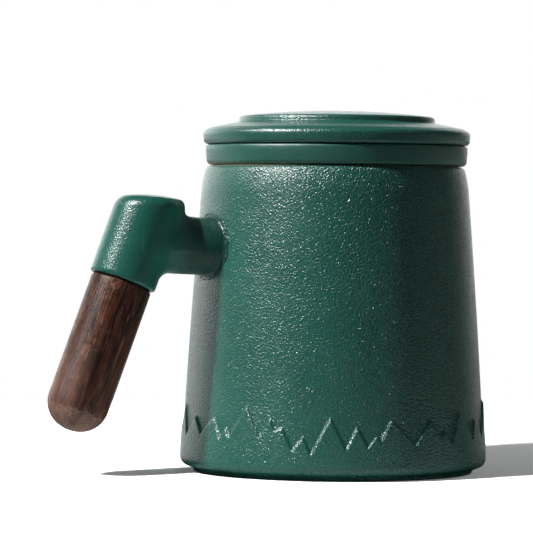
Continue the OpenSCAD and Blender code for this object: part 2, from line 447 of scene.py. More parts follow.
class Signal:
    """A number that changes over a surface: one socket, with arithmetic."""

    def __init__(self, graph: "Graph", socket: bpy.types.NodeSocket) -> None:
        """Wraps a socket.

        Args:
            graph: the graph that the socket belongs to.
            socket: the output socket that gives the number.
        """
        self.graph = graph
        self.socket = socket

    def math(self, operation: str, *values: Value) -> "Signal":
        """Adds one Math node and gives its result."""
        return self.graph.signal("ShaderNodeMath", {"operation": operation}, dict(enumerate(values)))

    def __add__(self, other: Value) -> "Signal":
        """The sum."""
        return self.math("ADD", self, other)

    def __radd__(self, other: Value) -> "Signal":
        """The sum, from the right."""
        return self.math("ADD", other, self)

    def __sub__(self, other: Value) -> "Signal":
        """The difference."""
        return self.math("SUBTRACT", self, other)

    def __rsub__(self, other: Value) -> "Signal":
        """The difference, from the right."""
        return self.math("SUBTRACT", other, self)

    def __mul__(self, other: Value) -> "Signal":
        """The product."""
        return self.math("MULTIPLY", self, other)

    def __rmul__(self, other: Value) -> "Signal":
        """The product, from the right."""
        return self.math("MULTIPLY", other, self)

    def __pow__(self, other: Value) -> "Signal":
        """The power."""
        return self.math("POWER", self, other)

    def at_least(self, other: Value) -> "Signal":
        """The larger of the two numbers."""
        return self.math("MAXIMUM", self, other)

    def ramp(self, start: float, end: float) -> "Signal":
        """A smooth step from 0 to 1.

        Args:
            start: where the step leaves 0; it may lie above end.
            end: where the step reaches 1.

        Returns:
            The step.
        """
        settings = {"interpolation_type": "SMOOTHSTEP"}
        inputs = {"Value": self, "From Min": start, "From Max": end}
        return self.graph.signal("ShaderNodeMapRange", settings, inputs)

    def step(self, start: float, end: float) -> "Signal":
        """The same smooth step with its ends in millimetres."""
        return self.ramp(start * MM, end * MM)


class Graph:
    """The node graph of one material or of the world."""

    def __init__(self, tree: bpy.types.NodeTree) -> None:
        """Empties a node tree to build on.

        Args:
            tree: the material's or the world's node tree.
        """
        self.tree = tree
        tree.nodes.clear()

    def node(self, kind: str, settings: Settings | None = None,
             inputs: Inputs | None = None) -> bpy.types.Node:
        """Adds one node.

        Args:
            kind: the node's type.
            settings: attributes set before the sockets.
            inputs: value, colour, signal or socket for each input.

        Returns:
            The node.
        """
        node = self.tree.nodes.new(kind)
        for key, value in (settings or {}).items():
            setattr(node, key, value)
        for key, value in (inputs or {}).items():
            if isinstance(value, Signal):
                value = value.socket
            if isinstance(value, bpy.types.NodeSocket):
                self.tree.links.new(value, node.inputs[key])
            elif isinstance(value, tuple) and len(value) == 3 and node.inputs[key].type == "RGBA":
                node.inputs[key].default_value = (*value, 1.0)
            else:
                node.inputs[key].default_value = value
        return node

    def signal(self, kind: str, settings: Settings | None = None, inputs: Inputs | None = None,
               output: str | int = 0) -> Signal:
        """Adds one node and gives one of its outputs.

        Args:
            kind: the node's type.
            settings: attributes set before the sockets.
            inputs: what goes into its inputs.
            output: name or place of the output.

        Returns:
            The output.
        """
        return Signal(self, self.node(kind, settings, inputs).outputs[output])

    def place(self) -> bpy.types.NodeSocket:
        """The place on the object, in metres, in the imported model's frame."""
        return self.node("ShaderNodeTexCoord").outputs["Object"]

    def along(self, vector: bpy.types.NodeSocket, axis: str) -> Signal:
        """One coordinate of a vector: X, Y or Z."""
        return self.signal("ShaderNodeSeparateXYZ", None, {0: vector}, axis)

    def vector(self, operation: str, *values: object) -> bpy.types.NodeSocket:
        """Adds one Vector Math node and gives its vector."""
        settings = {"operation": operation}
        return self.node("ShaderNodeVectorMath", settings, dict(enumerate(values))).outputs[0]

    def measure(self, operation: str, *values: object) -> Signal:
        """Adds one Vector Math node and gives its number, such as a length."""
        settings = {"operation": operation}
        return self.signal("ShaderNodeVectorMath", settings, dict(enumerate(values)), "Value")

    def joined(self, x: Value, y: Value, z: Value = 0.0) -> bpy.types.NodeSocket:
        """A vector from its three coordinates."""
        return self.node("ShaderNodeCombineXYZ", None, {0: x, 1: y, 2: z}).outputs[0]

    def grey(self, level: Value) -> bpy.types.NodeSocket:
        """A grey of one level."""
        return self.joined(level, level, level)

    def rotated(self, vector: bpy.types.NodeSocket, turn: Point) -> bpy.types.NodeSocket:
        """A vector turned about the three axes by angles in radians."""
        inputs = {"Vector": vector, "Rotation": turn}
        return self.node("ShaderNodeMapping", {"vector_type": "POINT"}, inputs).outputs[0]

    def noise(self, vector: bpy.types.NodeSocket, size: float, detail: float = 2.0,
              roughness: float = 0.5, distortion: float = 0.0) -> Signal:
        """Cloudy noise.

        Args:
            vector: the place.
            size: size of its blotches, in millimetres.
            detail: number of finer layers.
            roughness: strength of the finer layers.
            distortion: how far the blotches are pulled about.

        Returns:
            The noise, about 0.5 on average.
        """
        inputs = {"Vector": vector, "Scale": 1 / (size * MM), "Detail": detail,
                  "Roughness": roughness, "Distortion": distortion}
        return self.signal("ShaderNodeTexNoise", None, inputs)

    def blend(self, factor: Value, a: object, b: object, mode: str = "MIX") -> bpy.types.NodeSocket:
        """Mixes two colours.

        Args:
            factor: share of the second colour.
            a: the first colour or a socket.
            b: the second colour or a socket.
            mode: the Mix node's blend type.

        Returns:
            The mixed colour.
        """
        settings = {"data_type": "RGBA", "blend_type": mode}
        return self.node("ShaderNodeMix", settings, {0: factor, 6: a, 7: b}).outputs[2]

    def bump(self, height: Value, depth: float, normal: object = None) -> bpy.types.NodeSocket:
        """A bumped normal.

        Args:
            height: the height, from 0 to 1.
            depth: height of a full step, in millimetres.
            normal: a normal to add to.

        Returns:
            The normal.
        """
        inputs = {"Height": height, "Distance": depth * MM, "Strength": 1.0}
        if normal is not None:
            inputs["Normal"] = normal
        return self.node("ShaderNodeBump", None, inputs).outputs[0]


def surface(name: str) -> tuple[bpy.types.Material, Graph]:
    """A new material and its empty graph.

    Args:
        name: the material's name.

    Returns:
        The material and its graph.
    """
    material = bpy.data.materials.new(name)
    material.use_nodes = True
    return material, Graph(material.node_tree)


def finish_surface(graph: Graph, inputs: Inputs) -> None:
    """Ends a graph in a Principled shader with the given inputs."""
    shader = graph.node("ShaderNodeBsdfPrincipled", None, inputs)
    graph.node("ShaderNodeOutputMaterial", None, {"Surface": shader.outputs[0]})


# ---------------------------------------------------------------------------------------
# Finishes


class Pebbling(Enum):
    """How strongly the glaze has crawled into pebbles while it cooled."""

    LEATHERY = 1.0
    GRAINED = 0.8
    FINE = 0.45
    SATIN = 0.3


@dataclass(frozen=True)
class Lee:
    """The side of the mug where the pebbling is deeper.

    Args:
        bearing: bearing of that side, in degrees.
        start: distance from the axis towards that side at which the pebbling starts to grow.
        end: distance at which it is deepest.
        depth: how deep it is there, where the rest of the wall has 1.
    """

    bearing: float
    start: float
    end: float
    depth: float


@dataclass(frozen=True)
class Glaze:
    """A satin green glaze.

    Args:
        name: the material's name.
        pebbling: how pebbled its skin is.
        bare_above: height above which the clay is bare on the rim, or None.
        bare_below: height below which the clay is bare on the foot, or None.
        gather_and_shade: distances from the mug's axis between which the glaze gathers and its pebbling
        grows, and painted shade darkens its colour towards the wall. None where it doesn't.
        lee: the side where the pebbling and the hollows' painted shade are deeper, or None.
        roughness: middle roughness.
        grit: depth of the finest grain.
        density: index of refraction.
    """

    name: str
    pebbling: Pebbling
    bare_above: float | None = None
    bare_below: float | None = None
    gather_and_shade: tuple[float, float] | None = None
    lee: Lee | None = None
    roughness: float = 0.28
    grit: float = 0.08
    density: float = 1.95
    green: Colour = (0.0150, 0.121, 0.0905)
    pale: Colour = (0.0175, 0.138, 0.1030)
    # Colour of the painted shade in the pebbles' hollows.
    dark: Colour = (0.0055, 0.056, 0.0420)
    # Colour of the painted shade in the socket's corner by the mug's wall.
    corner_shade: Colour = (0.0080, 0.060, 0.0450)
    clay: Colour = (0.40, 0.30, 0.18)
    drift_size: float = 14.0
    drift_levels: tuple[float, float] = (0.3, 0.7)
    worm_size: float = 0.52
    worm_depth: float = 0.198
    worm_levels: tuple[float, float] = (0.36, 0.60)
    hollow_painted_shade: float = 0.24
    grit_size: float = 0.22
    grit_blur: float = 0.12
    drift_blur: float = 0.08
    corner_shade_share: float = 1.6
    pool_blur: float = 1.6
    bare_edge: float = 0.05
    bare_fray: float = 0.25
    bare_blur: float = 0.4

    def material(self) -> bpy.types.Material:
        """Builds the material.

        Returns:
            The glaze.
        """
        material, graph = surface(self.name)
        place = graph.place()
        strength = self.strength(graph, place)
        drift = graph.noise(place, self.drift_size, detail=3.0)
        worm = graph.noise(place, self.worm_size, detail=0.6, distortion=0.3)
        fine = graph.noise(place, self.grit_size, detail=1.0)
        normal = graph.bump(fine, self.grit)
        normal = graph.bump(worm * strength, self.worm_depth, normal)
        colour = graph.blend(drift.ramp(*self.drift_levels), self.green, self.pale)
        # Painted shade, partly the glaze's own deeper tone: the colour darkens in the pebbles' hollows,
        # most where the pebbling is deepest, away from the side the key lamp lights.
        hollow_shade = (1 - worm.ramp(*self.worm_levels)) * (self.hollow_painted_shade * strength)
        colour = graph.blend(hollow_shade, colour, self.dark)
        rough = self.roughness + (fine - 0.5) * self.grit_blur + (drift - 0.5) * self.drift_blur
        if self.gather_and_shade is not None:
            # Painted shade: towards the wall, where the stub meets the mug under the crown, the colour
            # darkens.
            more = strength - self.pebbling.value
            near = more * (1 / (1 - self.pebbling.value))
            colour = graph.blend(more * self.corner_shade_share, colour, self.corner_shade)
            rough = rough + near * (1 - near) * self.pool_blur
        bare = self.bare(graph, place, fine)
        if bare is not None:
            colour = graph.blend(bare, colour, self.clay)
            rough = rough + bare * self.bare_blur
        finish_surface(graph, {
            "Base Color": colour, "Roughness": rough, "Normal": normal, "IOR": self.density})
        return material

    def strength(self, graph: Graph, place: bpy.types.NodeSocket) -> Value:
        """How strong the pebbling is.

        Args:
            graph: the material's graph.
            place: the place on the piece.

        Returns:
            The strength at each place, or one number for the whole piece.
        """
        plain = self.pebbling.value
        if self.lee is not None:
            bearing = math.radians(self.lee.bearing)
            out = graph.measure("DOT_PRODUCT", place, (math.cos(bearing), math.sin(bearing), 0.0))
            return (out.step(self.lee.start, self.lee.end) * (self.lee.depth - 1) + 1) * plain
        if self.gather_and_shade is None:
            return plain
        out = graph.measure("LENGTH", graph.vector("MULTIPLY", place, (1.0, 1.0, 0.0)))
        return out.step(*self.gather_and_shade) * (Pebbling.LEATHERY.value - plain) + plain

    def bare(self, graph: Graph, place: bpy.types.NodeSocket, fine: Signal) -> Signal | None:
        """Where the glaze was wiped off before firing.

        Args:
            graph: the material's graph.
            place: the place on the piece.
            fine: fine noise that frays the glaze's edge.

        Returns:
            The mask, or None if the whole piece is glazed.
        """
        height = graph.along(place, "Z") + (fine - 0.5) * (self.bare_fray * MM)
        mask = None
        for level, edge in ((self.bare_above, self.bare_edge), (self.bare_below, -self.bare_edge)):
            if level is not None:
                part = height.step(level - edge, level + edge)
                mask = part if mask is None else mask.at_least(part)
        return mask


@dataclass(frozen=True)
class Grain:
    """One layer of a wood's figure: noise drawn out along the grain.

    Args:
        across: size across the grain.
        along: size along the grain.
        detail: number of finer layers.
    """

    across: float
    along: float
    detail: float = 2.0

    def noise(self, graph: Graph, local: bpy.types.NodeSocket) -> Signal:
        """The layer's noise at places whose Z runs with the grain."""
        drawn = graph.vector("MULTIPLY", local, (1.0, 1.0, self.across / self.along))
        return graph.noise(drawn, self.across, self.detail, roughness=0.6)


@dataclass(frozen=True)
class DarkWood:
    """Oiled dark hardwood with long grain, open pores and a paler sanded end.

    Args:
        lean: turn that lays the wood's grain along Z, in radians.
        end: place of the middle of the grip's rounded end.
    """

    lean: float
    end: Point
    deep: Colour = (0.0140, 0.0040, 0.0032)
    brown: Colour = (0.074, 0.0215, 0.0118)
    red: Colour = (0.148, 0.043, 0.018)
    tan: Colour = (0.270, 0.118, 0.064)
    pore: Colour = (0.004, 0.0018, 0.0012)
    end_grain: Colour = (0.215, 0.142, 0.108)
    roughness: float = 0.42
    density: float = 1.48
    sway: Grain = Grain(11.0, 50.0)
    sway_reach: tuple[float, float] = (16.0, 10.0)
    band: Grain = Grain(2.6, 50.0, 3.0)
    streak: Grain = Grain(0.85, 30.0)
    line: Grain = Grain(0.36, 16.0, 1.0)
    group: Grain = Grain(4.5, 34.0, 1.0)
    fleck: Grain = Grain(0.34, 2.6, 1.0)
    gate: Grain = Grain(3.0, 9.0, 1.0)
    figure: Grain = Grain(2.2, 3.0)
    fuzz_size: float = 0.8
    patch_size: float = 6.0
    end_length: float = 6.0
    end_edge: float = 0.3
    end_fray: float = 3.0
    end_share: float = 0.7
    end_blur: float = 0.04
    # Where and how strongly a painted highlight pales the grip's lower side towards the key lamp.
    highlight_heights: tuple[float, float] = (34.0, 10.0)
    highlight_side: tuple[float, float] = (-1.0, -6.0)
    highlight_share: float = 0.28
    figure_blur: float = 0.5
    pore_blur: float = 0.2
    pore_depth: float = 0.07
    grain_depth: float = 0.045
    fuzz_depth: float = 0.06

    def material(self) -> bpy.types.Material:
        """Builds the material.

        Returns:
            The wood.
        """
        material, graph = surface("dark_wood")
        start = graph.vector("SUBTRACT", graph.place(), metres(self.end))
        local = graph.rotated(start, (0.0, -self.lean, 0.0))
        sway = self.sway.noise(graph, local) - 0.5
        shift = graph.joined(*(sway * (reach * MM) for reach in self.sway_reach))
        swayed = graph.vector("ADD", local, shift)
        layers = (self.band, self.streak, self.line, self.group, self.fleck, self.gate)
        band, streak, line, group, fleck, gate = (layer.noise(graph, swayed) for layer in layers)
        figure = self.figure.noise(graph, local)
        fuzz = graph.noise(local, self.fuzz_size, detail=3.0, roughness=0.65)
        pore = fleck.ramp(0.63, 0.69) * gate.ramp(0.46, 0.60)
        # Each tint comes in where a layer lies between two of its levels, and up to a share.
        tints = (
            (streak.ramp(0.48, 0.64) * 0.7, self.red),
            (line.ramp(0.47, 0.39) * 0.6, self.deep),
            (line.ramp(0.54, 0.64) * group.ramp(0.50, 0.60) * 0.7, self.tan),
            (figure.ramp(0.54, 0.34) * 0.4, self.deep),
            (pore * 0.9, self.pore),
        )
        colour = graph.blend(band.ramp(0.36, 0.60), self.deep, self.brown)
        for share, tint in tints:
            colour = graph.blend(share, colour, tint)
        height = graph.along(local, "Z")
        frayed = height + (band - 0.5) * (self.end_fray * MM)
        cap = frayed.step(self.end_length + self.end_edge, self.end_length - self.end_edge)
        colour = graph.blend(cap * self.end_share, colour, self.sanded(graph, local, figure, fuzz))
        # Painted highlight: the lower part of the grip on the side facing the key lamp is made paler.
        painted_highlight = height.step(*self.highlight_heights) * graph.along(local, "X").step(*self.highlight_side)
        colour = graph.blend(painted_highlight * self.highlight_share, colour, self.end_grain, "ADD")
        rough = self.roughness + (figure - 0.5) * self.figure_blur
        rough = rough + pore * self.pore_blur + cap * self.end_blur
        normal = graph.bump(1 - pore, self.pore_depth)
        normal = graph.bump(streak + line, self.grain_depth, normal)
        normal = graph.bump(fuzz, self.fuzz_depth, normal)
        finish_surface(graph, {
            "Base Color": colour, "Roughness": rough, "Normal": normal, "IOR": self.density})
        return material

    def sanded(self, graph: Graph, local: bpy.types.NodeSocket, figure: Signal,
               fuzz: Signal) -> bpy.types.NodeSocket:
        """The paler colour of the sanded end, with brown blotches.

        Args:
            graph: the material's graph.
            local: the place, with the grain along Z.
            figure: the figure's coarse layer.
            fuzz: the finest layer.

        Returns:
            The colour.
        """
        patch = graph.noise(local, self.patch_size)
        pale = graph.blend(fuzz.ramp(0.15, 0.85), self.brown, self.end_grain)
        stained = patch.ramp(0.50, 0.38) * 0.7 + figure.ramp(0.50, 0.36) * 0.3
        return graph.blend(stained, pale, self.brown)


@dataclass(frozen=True)
class Plain:
    """A small part's finish: metal, rubber or resin with a fine grain.

    Args:
        name: the material's name.
        light: the paler colour.
        shade: the darker colour.
        metal: 1 for a metal and 0 for anything else.
        roughness: middle roughness.
        grain: size of the grain.
        depth: depth of the grain.
        grain_blur: how far the grain changes the roughness.
        patch: size of the patches of the two colours.
    """

    name: str
    light: Colour
    shade: Colour
    metal: float
    roughness: float
    grain: float = 0.3
    depth: float = 0.01
    grain_blur: float = 0.15
    patch: float = 3.6

    def material(self) -> bpy.types.Material:
        """Builds the material.

        Returns:
            The finish.
        """
        material, graph = surface(self.name)
        place = graph.place()
        grain = graph.noise(place, self.grain, detail=3.0, roughness=0.6)
        patch = graph.noise(place, self.patch)
        colour = graph.blend(patch.ramp(0.3, 0.7), self.shade, self.light)
        rough = self.roughness + (grain - 0.5) * self.grain_blur
        normal = graph.bump(grain, self.depth)
        finish_surface(graph, {
            "Base Color": colour, "Roughness": rough, "Metallic": self.metal, "Normal": normal})
        return material


def dress(piece: bpy.types.Object, material: bpy.types.Material) -> None:
    """Gives a piece one material in place of what it had."""
    piece.data.materials.clear()
    piece.data.materials.append(material)


# ---------------------------------------------------------------------------------------
# The mug

# The corners of the mountains' skyline: bearing in degrees and height in millimetres.
SKYLINE = (
    (172, 11.5), (181, 17.5), (186, 12.5), (194, 17.5), (198, 11.5), (201, 14.5), (203, 12),
    (211, 21.5), (217, 12.5), (221, 18), (223, 14.5), (226, 15.5), (230, 9), (234, 13),
    (237, 8), (244, 18.5), (250, 9.5), (254, 16), (258, 10), (261, 13), (263, 12), (267, 18),
    (277, 10.5), (284, 17.5), (289, 12.5), (291, 14.5), (295, 10.5), (300, 19.5), (310, 11.5),
    (313, 17), (321, 11.5), (331, 22), (338, 12), (342, 16), (347, 9.5), (355, 18.5),
    (361, 11), (365, 14.5), (369, 8.5), (377, 20), (385, 11), (389, 15.5), (392, 12.5),
    (400, 18), (409, 9), (414, 14), (418, 10.5), (428, 21), (437, 11.5), (441, 15),
    (445, 9.5), (453, 18.5), (460, 10.5), (464, 13.5), (468, 8.5), (477, 19.5), (486, 11),
    (491, 16.5), (495, 12), (503, 18), (511, 9.5), (516, 14), (520, 11), (527, 20.5), (532, 11.5),
)


@dataclass
class MugBody:
    """The tapered cup with a raised line of mountains round its foot."""

    height: float = 91.9
    base_r: float = 45.4
    shoulder_r: float = 40.32
    wall_low: float = 7.0
    shoulder_z: float = 83.8
    shoulder_lean: float = 0.083
    shoulder_bend: float = 0.0138
    bulge: float = 0.25
    wall: float = 4.8
    rim_round: float = 1.9
    rim_turn: float = 15.0
    mouth_r: float = 34.93
    mouth_top: float = 2.0
    mouth_low: float = 1.0
    mouth_round: float = 12.0
    inside_levels: tuple[float, ...] = (66.8, 49.3, 31.9)
    foot_r: float = 42.2
    foot_draft: float = 0.3
    foot_step: float = 1.1
    foot_ring: float = 5.0
    recess: float = 1.5
    recess_slope: float = 1.0
    floor_z: float = 6.5
    floor_round: float = 8.0
    heel_r: float = 46.1
    heel_z: float = 4.4
    heel_round: float = 2.6
    heel_turn: float = 65.0
    relief: float = 0.65
    relief_top: float = 24.0
    edge_width: float = 0.85
    beyond_edge: float = 9.0
    bare_rim: float = 0.2
    bare_foot: float = 0.12
    lee: Lee = Lee(bearing=25.0, start=-39.0, end=-12.0, depth=3.1)
    fine: float = 0.3
    coarse_start: float = 1.2
    coarse_rows: int = 36
    segments: int = 960

    def wall_radius(self, z: np.ndarray) -> np.ndarray:
        """Radius of the plain outer wall.

        Args:
            z: heights.

        Returns:
            The radius at each height.
        """
        t = (z - self.wall_low) / (self.shoulder_z - self.wall_low)
        return self.base_r + (self.shoulder_r - self.base_r) * t + 4 * self.bulge * t * (1 - t)

    def bore(self, z: float) -> float:
        """Radius of the inside at one height on the plain wall."""
        return float(self.wall_radius(np.array(z))) - self.wall

    def shoulder(self) -> np.ndarray:
        """The outline over the shoulder and the rim to the rim's inner edge.

        Returns:
            Rows of (r, z).
        """
        lean = math.radians(self.rim_turn)
        rim_low = self.rim_round * (1 - math.sin(lean))
        up = np.linspace(0, self.height - self.shoulder_z - rim_low, 9)
        out = self.shoulder_r - self.shoulder_lean * up - self.shoulder_bend * up * up
        slope = np.stack([out, self.shoulder_z + up], 1)
        centre = (slope[-1, 0] - self.rim_round * math.cos(lean), self.height - self.rim_round)
        rim = arc(centre, self.rim_round, self.rim_turn, 90, 10)
        inner = self.rim_round / 2
        lip = arc((self.mouth_r + inner, self.height - inner), inner, 90, 180, 5)
        return np.concatenate([slope, rim[1:], lip])

    def foot(self) -> np.ndarray:
        """The outline from the middle of the underside to the top of the heel.

        Returns:
            Rows of (r, z).
        """
        ring_in = self.foot_r - self.foot_ring
        heel = arc((self.heel_r - self.heel_round, self.heel_z), self.heel_round, -self.heel_turn, 0, 14)
        flat = outline([
            Corner(0, self.recess), Corner(ring_in - self.recess_slope, self.recess, 0.6),
            Corner(ring_in, 0, 0.5), Corner(self.foot_r - self.foot_draft, 0, 0.35),
            Corner(self.foot_r, self.foot_step, 0.3),
            Corner(heel[0, 0], heel[0, 1])], steps=5, longest=5.0)
        return np.concatenate([flat, heel[1:]])

    def inside(self) -> np.ndarray:
        """The outline down the inside, from the rim's inner edge to the middle of the floor.

        Returns:
            Rows of (r, z).
        """
        return outline([
            Corner(self.mouth_r, self.height - self.mouth_top),
            Corner(self.mouth_r, self.shoulder_z + self.mouth_low, self.mouth_round),
            *(Corner(self.bore(z), z) for z in self.inside_levels),
            Corner(self.bore(self.floor_z + self.floor_round), self.floor_z, self.floor_round),
            Corner(0, self.floor_z)], steps=10, longest=6.0)

    def mountains(self, grid: np.ndarray) -> np.ndarray:
        """How far each point of the band stands out, from 0 on the wall to 1 on the mountains.

        Args:
            grid: points with one row for each height and one column for each bearing.

        Returns:
            The share of the relief at each point.
        """
        bearing = np.degrees(np.arctan2(grid[0, :, 1], grid[0, :, 0])) % 360
        around, up = np.meshgrid(bearing, grid[:, 0, 2])
        line = np.array(SKYLINE + ((SKYLINE[1][0] + 360, SKYLINE[1][1]),))
        nearest = np.full(around.shape, self.beyond_edge)
        degree = math.radians(1) * self.base_r
        for (a0, z0), (a1, z1) in zip(line, line[1:]):
            offset = (around - a0 + 180) % 360 - 180
            dx, dz = (a1 - a0) * degree, z1 - z0
            x, z = offset * degree, up - z0
            share = np.clip((x * dx + z * dz) / (dx * dx + dz * dz), 0, 1)
            nearest = np.minimum(nearest, np.hypot(x - share * dx, z - share * dz))
        turn = np.where(bearing < line[0, 0], bearing + 360, bearing)
        skyline = np.interp(turn, line[:, 0], line[:, 1])
        signed = np.where(up < skyline[None, :], nearest, -nearest) / self.edge_width + 0.5
        share = np.clip(signed, 0, 1)
        return share * share * (3 - 2 * share)

    def draft(self) -> Draft:
        """The turned cup with the mountains raised on its wall.

        Returns:
            The cup's points and faces.
        """
        band = np.arange(self.wall_low, self.relief_top + self.fine, self.fine)
        above = np.linspace(self.relief_top + self.coarse_start, self.shoulder_z, self.coarse_rows)
        heights = np.concatenate([band, above[:-1]])
        side = np.stack([self.wall_radius(heights), heights], 1)
        heel = np.array([[self.heel_r, (self.heel_z + self.wall_low) / 2]])
        below = np.concatenate([self.foot(), heel])
        draft = Draft()
        path = np.concatenate([below, side, self.shoulder(), self.inside()])
        index = draft.add_lathe(path, self.segments)
        points = draft.points[0].reshape(index.shape + (3,))
        # The outline starts on the axis, and that point has no row.
        first = len(below) - 1
        rows = slice(first, first + len(band))
        radius = np.hypot(points[rows, :, 0], points[rows, :, 1])
        scale = 1 + self.relief * self.mountains(points[rows]) / radius
        points[rows, :, :2] *= scale[..., None]
        return draft

    def build(self) -> bpy.types.Object:
        """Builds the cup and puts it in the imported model's place.

        Returns:
            The cup.
        """
        glaze = Glaze(
            "body_glaze", Pebbling.LEATHERY, bare_above=self.height - self.bare_rim,
            bare_below=self.bare_foot, lee=self.lee)
        piece = self.draft().build("mug_cup")
        dress(piece, glaze.material())
        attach(piece, "mug")
        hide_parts("mug_body")
        return piece


@dataclass(frozen=True)
class Wave:
    """Unevenness round the stub.

    Args:
        share: height of the waves, as a share of what they change.
        count: number of waves in a full turn.
        shift: where they start, in radians.
    """

    share: float
    count: int
    shift: float = 0.0

    def at(self, turn: np.ndarray) -> np.ndarray:
        """The wave's height at each bearing in radians."""
        return self.share * np.sin(self.count * turn + self.shift)


@dataclass
class Handle:
    """The elbow socket on the wall, the wooden grip and what fixes one to the other."""

    mug: MugBody
    tilt: float = 20.7
    joint_out: float = 64.42
    joint_z: float = 68.6
    barrel_r: float = 10.02
    barrel_low: float = 12.2
    lip_round: float = 1.0
    crown_z: float = 82.84
    crown_round: float = 2.3
    crown_dome: float = 40.0
    crown_tilt: float = 5.0
    nape_r: float = 8.5
    nape_width: float = 7.6
    nape_out: float = 59.85
    nape_z: float = 76.75
    nape_lean: float = 36.0
    nape_back: float = 2.0
    nape_round: float = 2.0
    stub_r: float = 8.55
    stub_z: float = 67.6
    stub_out: float = 41.41
    stub_rise: float = 2.5
    cove_top: float = 1.6
    cove_under: float = 2.8
    flare: float = 1.1
    flare_waves: tuple[Wave, ...] = (Wave(0.14, 7, 1.0), Wave(0.1, 17, 2.0))
    flare_end: float = 1.2
    flare_side: float = 1.9
    flare_reach: float = 10.0
    flare_sunk: float = 0.06
    bead_r: float = 0.36
    bead_waves: tuple[Wave, ...] = (Wave(0.25, 11), Wave(1.0, 29, 1.0))
    bead_out: float = 1.1
    bead_sunk: float = 0.02
    bead_round: float = 0.3
    joint_reach: float = 3.0
    bury: float = 0.3
    bore_r: float = 5.1
    bore_depth: float = 13.6
    washer: float = 0.3
    grip_r: float = 9.15
    grip_length: float = 45.97
    end_height: float = 8.75
    end_power: float = 2.12
    end_steps: int = 21
    stud_r: float = 2.55
    stud_depth: float = 18.0
    box_low: Point = (-80.0, -12.0, 52.0)
    box_high: Point = (-38.0, 12.0, 86.0)
    step: float = 0.39
    segments: int = 128

    def axis(self) -> np.ndarray:
        """Direction of the barrel's axis, upwards."""
        lean = math.radians(self.tilt)
        return np.array([math.sin(lean), 0.0, math.cos(lean)])

    def joint(self) -> np.ndarray:
        """Where the barrel's axis crosses the stub's."""
        return np.array([-self.joint_out, 0.0, self.joint_z])

    def below_joint(self, length: float) -> np.ndarray:
        """The place on the barrel's axis at some length below the joint."""
        return self.joint() - length * self.axis()

    def nape(self, p: np.ndarray) -> np.ndarray:
        """Distance to the slope between the crown and the top of the stub.

        Args:
            p: rows of (x, y, z).

        Returns:
            The distance at each point, negative inside.
        """
        lean = math.radians(self.nape_lean)
        q = p - np.array([-self.nape_out, 0, self.nape_z])
        across = q[:, 0] * math.cos(lean) + q[:, 2] * math.sin(lean)
        wide = q[:, 1] * self.nape_r / self.nape_width
        cut = np.maximum(self.stub_z - p[:, 2], -q[:, 0] - self.nape_back)
        return np.maximum(np.hypot(across, wide) - self.nape_r, cut)

    def crown(self, p: np.ndarray) -> np.ndarray:
        """Distance to the large ball that domes the barrel's top.

        Args:
            p: rows of (x, y, z).

        Returns:
            The distance at each point, negative inside.
        """
        tip = math.radians(self.crown_tilt)
        in_from_joint = (self.crown_z - self.joint_z) * math.tan(math.radians(self.tilt))
        top = np.array([in_from_joint - self.joint_out, 0, self.crown_z])
        middle = top - self.crown_dome * np.array([math.sin(tip), 0, math.cos(tip)])
        return np.linalg.norm(p - middle, axis=1) - self.crown_dome

    def with_stub(self, barrel: np.ndarray, p: np.ndarray, wall: np.ndarray) -> np.ndarray:
        """Joins the stub to the barrel and to the mug's wall.

        Args:
            barrel: distances to the barrel.
            p: rows of (x, y, z).
            wall: distances to the mug's wall.

        Returns:
            The distance at each point, negative inside.
        """
        rise = math.radians(self.stub_rise)
        out = np.array([-math.cos(rise), 0, math.sin(rise)])
        start = p - np.array([-self.stub_out, 0, self.stub_z])
        far = start @ out
        beside = start - far[:, None] * out
        around = np.linalg.norm(beside, axis=1)
        near = np.clip(1 - wall / self.flare_reach, 0, 1)
        side = (beside[:, 1] / np.maximum(around, 1)) ** 2
        stub = around - self.stub_r - self.flare_side * side * near * near * (3 - 2 * near)
        upward = np.clip(beside[:, 2] / self.stub_r * 0.5 + 0.5, 0, 1)
        cove = self.cove_under + (self.cove_top - self.cove_under) * upward
        reach = self.joint_out - self.stub_out
        solid = round_either(barrel, np.maximum(stub, far - reach), cove)
        return self.luted(solid, stub, wall, np.arctan2(beside[:, 1], beside[:, 2]))

    def luted(self, solid: np.ndarray, stub: np.ndarray, wall: np.ndarray,
              turn: np.ndarray) -> np.ndarray:
        """Adds the stub's uneven flare and the bead of clay round it.

        Args:
            solid: distances to the barrel and the stub.
            stub: distances to the stub alone.
            wall: distances to the mug's wall.
            turn: bearings round the stub, in radians.

        Returns:
            The distance at each point, negative inside.
        """
        flare = self.flare * sum((wave.at(turn) for wave in self.flare_waves), start=1.0)
        joined = round_either(solid, wall + self.flare_sunk, flare)
        joined = np.maximum(joined, stub - self.flare_end * flare)
        lumps = math.prod(wave.at(turn) for wave in self.bead_waves)
        bead = np.hypot(stub - self.bead_out * flare, wall + self.bead_sunk) - self.bead_r * (1 + lumps)
        return np.where(wall < self.joint_reach, round_either(joined, bead, self.bead_round), solid)

    def elbow(self, p: np.ndarray) -> np.ndarray:
        """Distance to the elbow socket.

        Args:
            p: rows of (x, y, z).

        Returns:
            The distance at each point, negative inside.
        """
        axis, q = self.axis(), p - self.joint()
        high = q @ axis
        around = np.linalg.norm(q - high[:, None] * axis, axis=1)
        wall = np.hypot(p[:, 0], p[:, 1]) - self.mug.wall_radius(p[:, 2])
        solid = round_either(around - self.barrel_r, self.nape(p), self.nape_round)
        solid = round_both(solid, self.crown(p), self.crown_round)
        solid = round_both(solid, -high - self.barrel_low, self.lip_round)
        solid = np.maximum(self.with_stub(solid, p, wall), -wall - self.bury)
        bore = np.maximum(around - self.bore_r, high + self.barrel_low - self.bore_depth)
        return np.maximum(solid, -bore)

